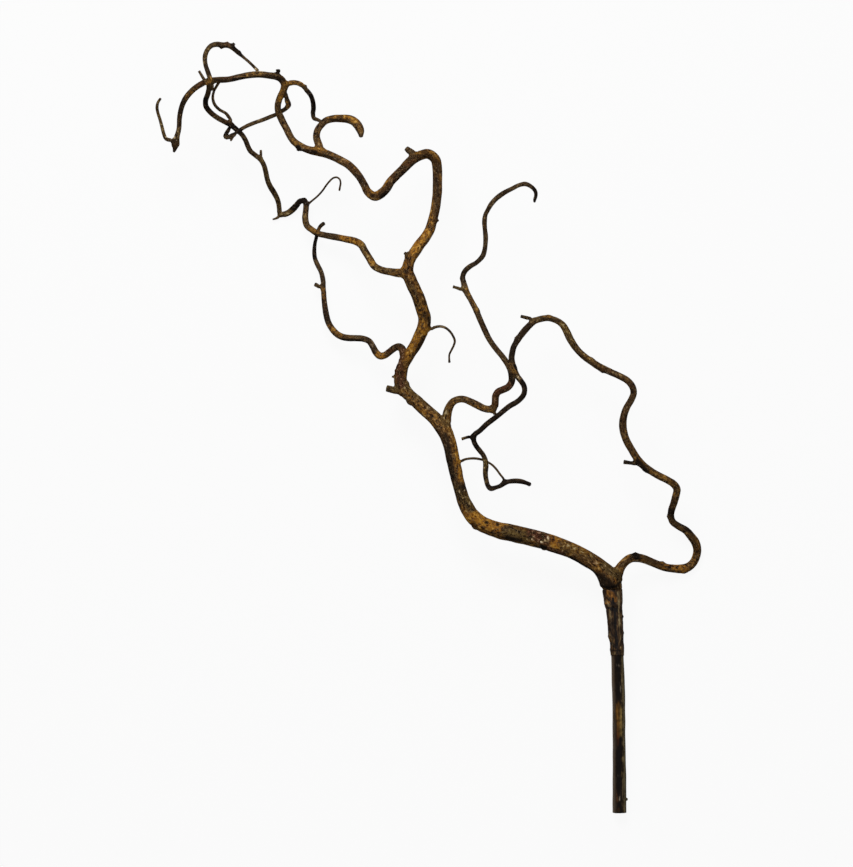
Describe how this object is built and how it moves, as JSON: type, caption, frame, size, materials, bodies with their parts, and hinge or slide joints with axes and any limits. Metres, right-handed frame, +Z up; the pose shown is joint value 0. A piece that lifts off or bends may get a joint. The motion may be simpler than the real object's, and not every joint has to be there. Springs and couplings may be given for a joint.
{
  "type": "curly willow branch",
  "caption": "Dried curly willow branch lying flat, with twisting limbs and curled tendrils, bound with tape to a straight cut stem",
  "frame": {"origin": "middle of the outline, on the table top that the branch lies on", "axes": "+Y along the stem from its cut end towards the branch's tip, +X to the side of the right-hand limb, +Z up from the table"},
  "size_m": [0.5458, 0.7719, 0.1026],
  "materials": {
    "bark": "dried mottled bark, satin",
    "stem_bark": "smooth dark bark, satin",
    "tape": "waxed brown floral tape, stretched smooth"
  },
  "bodies": {
    "root": {"curly_branch": "bark", "straight_stem": "stem_bark", "stem_wrap": "tape"}
  },
  "joints": []
}
